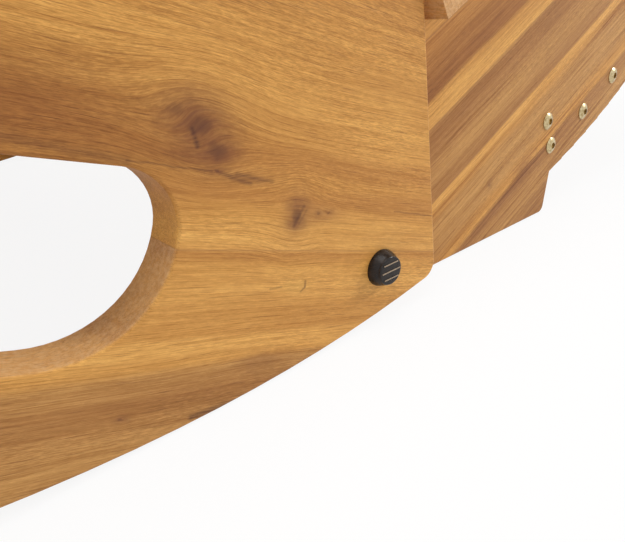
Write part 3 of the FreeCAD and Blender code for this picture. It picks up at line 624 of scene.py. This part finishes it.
def skin(mesh, loops):
    """Closed skin over rings of points, one ring after the other."""
    count = len(loops[0])
    for lower, upper in zip(loops[:-1], loops[1:]):
        for here in range(count):
            after = (here + 1) % count
            mesh.faces.new((lower[here], lower[after], upper[after], upper[here]))
    mesh.faces.new(loops[-1])
    mesh.faces.new(loops[0][::-1])


def round_angles(count):
    return [2 * math.pi * step / count for step in range(count)]


def finished(name, mesh, material, body):
    """The mesh as a piece of the object, which rides on a body and has a material."""
    bmesh.ops.recalc_face_normals(mesh, faces=mesh.faces)
    data = bpy.data.meshes.new(name)
    mesh.to_mesh(data)
    mesh.free()
    piece = bpy.data.objects.new(name, data)
    bpy.context.scene.collection.objects.link(piece)
    data.materials.append(material)
    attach(piece, body)
    return piece


# The slat screw, in millimetres: rings (radius, height) of its pan head, and its hexagon socket.
SCREW_RINGS = [(4.3, -0.2), (4.3, 0.5), (4.0, 1.0), (3.3, 1.55), (2.4, 1.85)]
SCREW_TURNS = 24
SOCKET_HALF_WIDTH = 1.45
SOCKET_RIM = 1.85
SOCKET_FLOOR = 0.3


def slat_pose(piece):
    """Middle of a slat, its width direction, its upward normal and its reach upwards, in metres."""
    points = np.array([vertex.co for vertex in piece.data.vertices], float)
    middle = Vector((points.min(0) + points.max(0)) / 2)
    flat = points[:, [0, 2]] - points[:, [0, 2]].mean(0)
    width = np.linalg.svd(flat, full_matrices=False)[2][0]
    if width[0] < 0:
        width = -width
    across = Vector((width[0], 0.0, width[1]))
    up = Vector((-width[1], 0.0, width[0]))
    reach = max((Vector(point) - middle).dot(up) for point in points)
    return middle, across, up, reach


def screw_mesh(mesh, place, across, up):
    """Pan head screw with a hexagon socket, drawn as rings around its axis."""
    side = up.cross(across)
    angles = round_angles(SCREW_TURNS)

    def at(radius, angle, height):
        outward = across * math.cos(angle) + side * math.sin(angle)
        return mesh.verts.new(place + (outward * radius + up * height) / METRE)

    loops = [[at(radius, angle, height) for angle in angles] for radius, height in SCREW_RINGS]
    sector = math.pi / 3
    hexagon = [SOCKET_HALF_WIDTH / math.cos((angle % sector) - sector / 2) for angle in angles]
    for height in (SOCKET_RIM, SOCKET_FLOOR):
        loops.append([at(radius, angle, height) for radius, angle in zip(hexagon, angles)])
    skin(mesh, loops)


def slat_screws(prefix, panel, body):
    """One screw through each end of every slat, over the middle of the panel that carries it."""
    mesh = bmesh.new()
    low_y, high_y = (corner.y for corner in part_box(panel))
    reach_y = abs(low_y + high_y) / 2
    for name in sorted(node for node in nodes if node.startswith(prefix)):
        middle, across, up, reach = slat_pose(nodes[name])
        for side in (-1.0, 1.0):
            spot = middle + up * reach
            spot.y = side * reach_y
            screw_mesh(mesh, spot, across, up)
    finished(prefix + "_screws", mesh, zinc, body)


slat_screws("leg_slat", "leg_panel_left", "leg_frame")
slat_screws("back_slat", "back_panel_left", "back_frame")

# The black cap, in millimetres: a tapered button with three thin ribs and a spigot in the stop pin.
CAP_FACE_RADIUS = 9.4
CAP_RIM_ROUND = 0.9
CAP_SKIRT = 0.9
CAP_TAPER_POWER = 1.25
CAP_SPIGOT_RADIUS = 5.8
CAP_RIB_COUNT = 3
CAP_RIB_PITCH = 4.9
CAP_RIB_WIDTH = 0.8
CAP_RIB_HEIGHT = 0.6
CAP_RIB_ROOT = 0.2
CAP_RIB_MARGIN = 1.6
CAP_TURNS = 64
CAP_STEPS = 6
CAP_SHARP_ANGLE = math.radians(35.0)


def cap_profile(base, face, spigot):
    """Radius and height of the cap's outline, from the spigot's end to the face."""
    outline = [(CAP_SPIGOT_RADIUS - CAP_SKIRT, -spigot), (CAP_SPIGOT_RADIUS, CAP_SKIRT - spigot),
               (CAP_SPIGOT_RADIUS, 0.0), (base, 0.0)]
    shoulder = face - CAP_RIM_ROUND
    for step in range(CAP_STEPS):
        part = step / CAP_STEPS
        radius = base - (base - CAP_FACE_RADIUS) * part ** CAP_TAPER_POWER
        outline.append((radius, CAP_SKIRT + (shoulder - CAP_SKIRT) * part))
    for step in range(CAP_STEPS + 1):
        turn = math.pi / 2 * step / CAP_STEPS
        outline.append((CAP_FACE_RADIUS - CAP_RIM_ROUND * (1 - math.cos(turn)),
                        shoulder + CAP_RIM_ROUND * math.sin(turn)))
    return outline


def rib_section(face, top):
    """Outline across a rib, as pairs of (sideways, height), from its root on one side to the other."""
    half = CAP_RIB_WIDTH / 2
    one_side = [(half, face - CAP_RIB_ROOT), (half, face + CAP_RIB_HEIGHT / 2), (half / 2, top)]
    return [(-across, height) for across, height in one_side] + one_side[::-1]


def ribbed_cap(side, outward):
    """Cap of one stop pin, on the outer face of its leg panel."""
    node = "stop_bar_cap_" + side
    (low, high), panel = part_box(node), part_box("leg_panel_" + side)
    face_y = panel[0].y if outward < 0 else panel[1].y
    end_y = low.y if outward < 0 else high.y
    middle = Vector(((low.x + high.x) / 2, face_y, (low.z + high.z) / 2))
    base = METRE * (high.x - low.x) / 2
    top = METRE * abs(end_y - face_y)
    face = top - CAP_RIB_HEIGHT
    spigot = METRE * (high.y - low.y) - top
    mesh = bmesh.new()

    def at(x, height, z):
        return mesh.verts.new(middle + Vector((x, outward * height, z)) / METRE)

    angles = round_angles(CAP_TURNS)
    skin(mesh, [[at(radius * math.cos(angle), height, radius * math.sin(angle)) for angle in angles]
                for radius, height in cap_profile(base, face, spigot)])
    section = rib_section(face, top)
    for rib in range(CAP_RIB_COUNT):
        rise = (rib - (CAP_RIB_COUNT - 1) / 2) * CAP_RIB_PITCH
        reach = math.sqrt((CAP_FACE_RADIUS - CAP_RIB_MARGIN) ** 2 - rise ** 2)
        skin(mesh, [[at(x, height, rise + z) for z, height in section] for x in (-reach, reach)])
    piece = finished("ribbed_cap_" + side, mesh, black, "leg_frame")
    piece.data.shade_smooth()
    piece.data.set_sharp_from_angle(angle=CAP_SHARP_ANGLE)
    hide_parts(node)


ribbed_cap("left", -1.0)
ribbed_cap("right", 1.0)

# The studio, in metres and watts. The floor's share of white goes by the distance from its middle.
FLOOR_HALF = 30.0
FLOOR_DROP = 0.0005
FLOOR_TONES = (srgb(238, 238, 237), srgb(244, 244, 243))
FLOOR_DETAIL = 2.0
FLOOR_WHITE = (1.0, 3.0, 0.89, 1.0)
WHITE = (1.0, 1.0, 1.0, 1.0)
SKY_LIGHT = 0.38
SKY_SEEN = 1.0
LAMPS = [
    {"name": "key", "place": (2.4, -1.6, 1.5), "aim": (0.05, -0.35, 0.12), "size": 0.8, "power": 48.0},
    {"name": "top", "place": (-0.3, -0.5, 2.6), "aim": (0.0, -0.3, 0.1), "size": 1.8, "power": 35.0},
    {"name": "fill", "place": (-2.2, -2.2, 1.4), "aim": (-0.1, -0.35, 0.15), "size": 1.8, "power": 16.0},
    {"name": "back", "place": (0.4, 2.8, 1.4), "aim": (0.0, 0.35, 0.15), "size": 1.8, "power": 38.0}]


def floor():
    """Pale floor that shows white to the camera and in reflections, and keeps a soft shadow."""
    graph = Graph(bpy.data.materials.new("studio_floor"))
    place = graph.place()
    matte = graph.add("ShaderNodeBsdfDiffuse")
    graph.put(matte.inputs["Color"], graph.mix(graph.noise(place, FLOOR_DETAIL), *FLOOR_TONES))
    glow = graph.add("ShaderNodeEmission")
    away = graph.add("ShaderNodeVectorMath", operation="LENGTH")
    graph.put(away.inputs[0], place)
    white = graph.span(away.outputs["Value"], *FLOOR_WHITE)
    blend = graph.add("ShaderNodeMixShader")
    graph.put(blend.inputs[0], graph.math("MULTIPLY", graph.seen(), white))
    graph.tree.links.new(matte.outputs[0], blend.inputs[1])
    graph.tree.links.new(glow.outputs[0], blend.inputs[2])
    corners = [(-1, -1), (1, -1), (1, 1), (-1, 1)]
    data = bpy.data.meshes.new("studio_floor")
    data.from_pydata([(x * FLOOR_HALF, y * FLOOR_HALF, 0) for x, y in corners], [], [(0, 1, 2, 3)])
    data.materials.append(graph.show(blend))
    plane = bpy.data.objects.new("studio_floor", data)
    plane.location.z = -FLOOR_DROP
    bpy.context.scene.collection.objects.link(plane)


def sky():
    """Even studio surround, white where it is seen."""
    graph = Graph(bpy.data.worlds.new("studio"))
    shade = graph.add("ShaderNodeBackground")
    graph.put(shade.inputs["Color"], WHITE)
    strength = graph.span(graph.seen(), 0.0, 1.0, SKY_LIGHT, SKY_SEEN, smooth=False)
    graph.put(shade.inputs["Strength"], strength)
    bpy.context.scene.world = graph.show(shade, "ShaderNodeOutputWorld")


def softbox(name, place, aim, size, power):
    """Square lamp of a size, turned to its aim."""
    data = bpy.data.lights.new(name, "AREA")
    data.shape = "RECTANGLE"
    data.size = size
    data.size_y = size
    data.energy = power
    lamp = bpy.data.objects.new(name, data)
    lamp.location = place
    lamp.rotation_euler = (Vector(aim) - Vector(place)).to_track_quat("-Z", "Y").to_euler()
    bpy.context.scene.collection.objects.link(lamp)


floor()
sky()
for lamp in LAMPS:
    softbox(**lamp)

# Camera from the photograph: turned, tipped, rolled and placed, in millimetres, by the board's known lines.
TURN = math.radians(37.897)
TIP = math.radians(25.396)
ROLL = math.radians(-5.138)
PLACE = (-131.68, -245.68, 204.39)
FOCAL_PIXELS = 608.57
PHOTO_WIDTH = 625
SENSOR_WIDTH = 36.0
NEAREST = 0.01
FARTHEST = 200.0


def photo_camera():
    """Camera that sees the part as the photograph does."""
    ahead = Vector((math.sin(TURN) * math.cos(TIP), math.cos(TURN) * math.cos(TIP), -math.sin(TIP)))
    level = Vector((math.cos(TURN), -math.sin(TURN), 0.0))
    upward = level.cross(ahead)
    right = level * math.cos(ROLL) + upward * math.sin(ROLL)
    top = upward * math.cos(ROLL) - level * math.sin(ROLL)
    lens = bpy.data.cameras.new("photo_camera")
    lens.sensor_fit = "HORIZONTAL"
    lens.sensor_width = SENSOR_WIDTH
    lens.lens = FOCAL_PIXELS * SENSOR_WIDTH / PHOTO_WIDTH
    lens.clip_start = NEAREST
    lens.clip_end = FARTHEST
    camera = bpy.data.objects.new("photo_camera", lens)
    turned = Matrix((right, top, -ahead)).transposed().to_4x4()
    spot = Vector((PLACE[0] - SHIFT, PLACE[1] + FACE_Y, PLACE[2])) / METRE
    camera.matrix_world = Matrix.Translation(spot) @ turned
    bpy.context.scene.collection.objects.link(camera)
    return camera


bpy.context.scene.camera = photo_camera()
bpy.context.scene.view_settings.view_transform = "Standard"
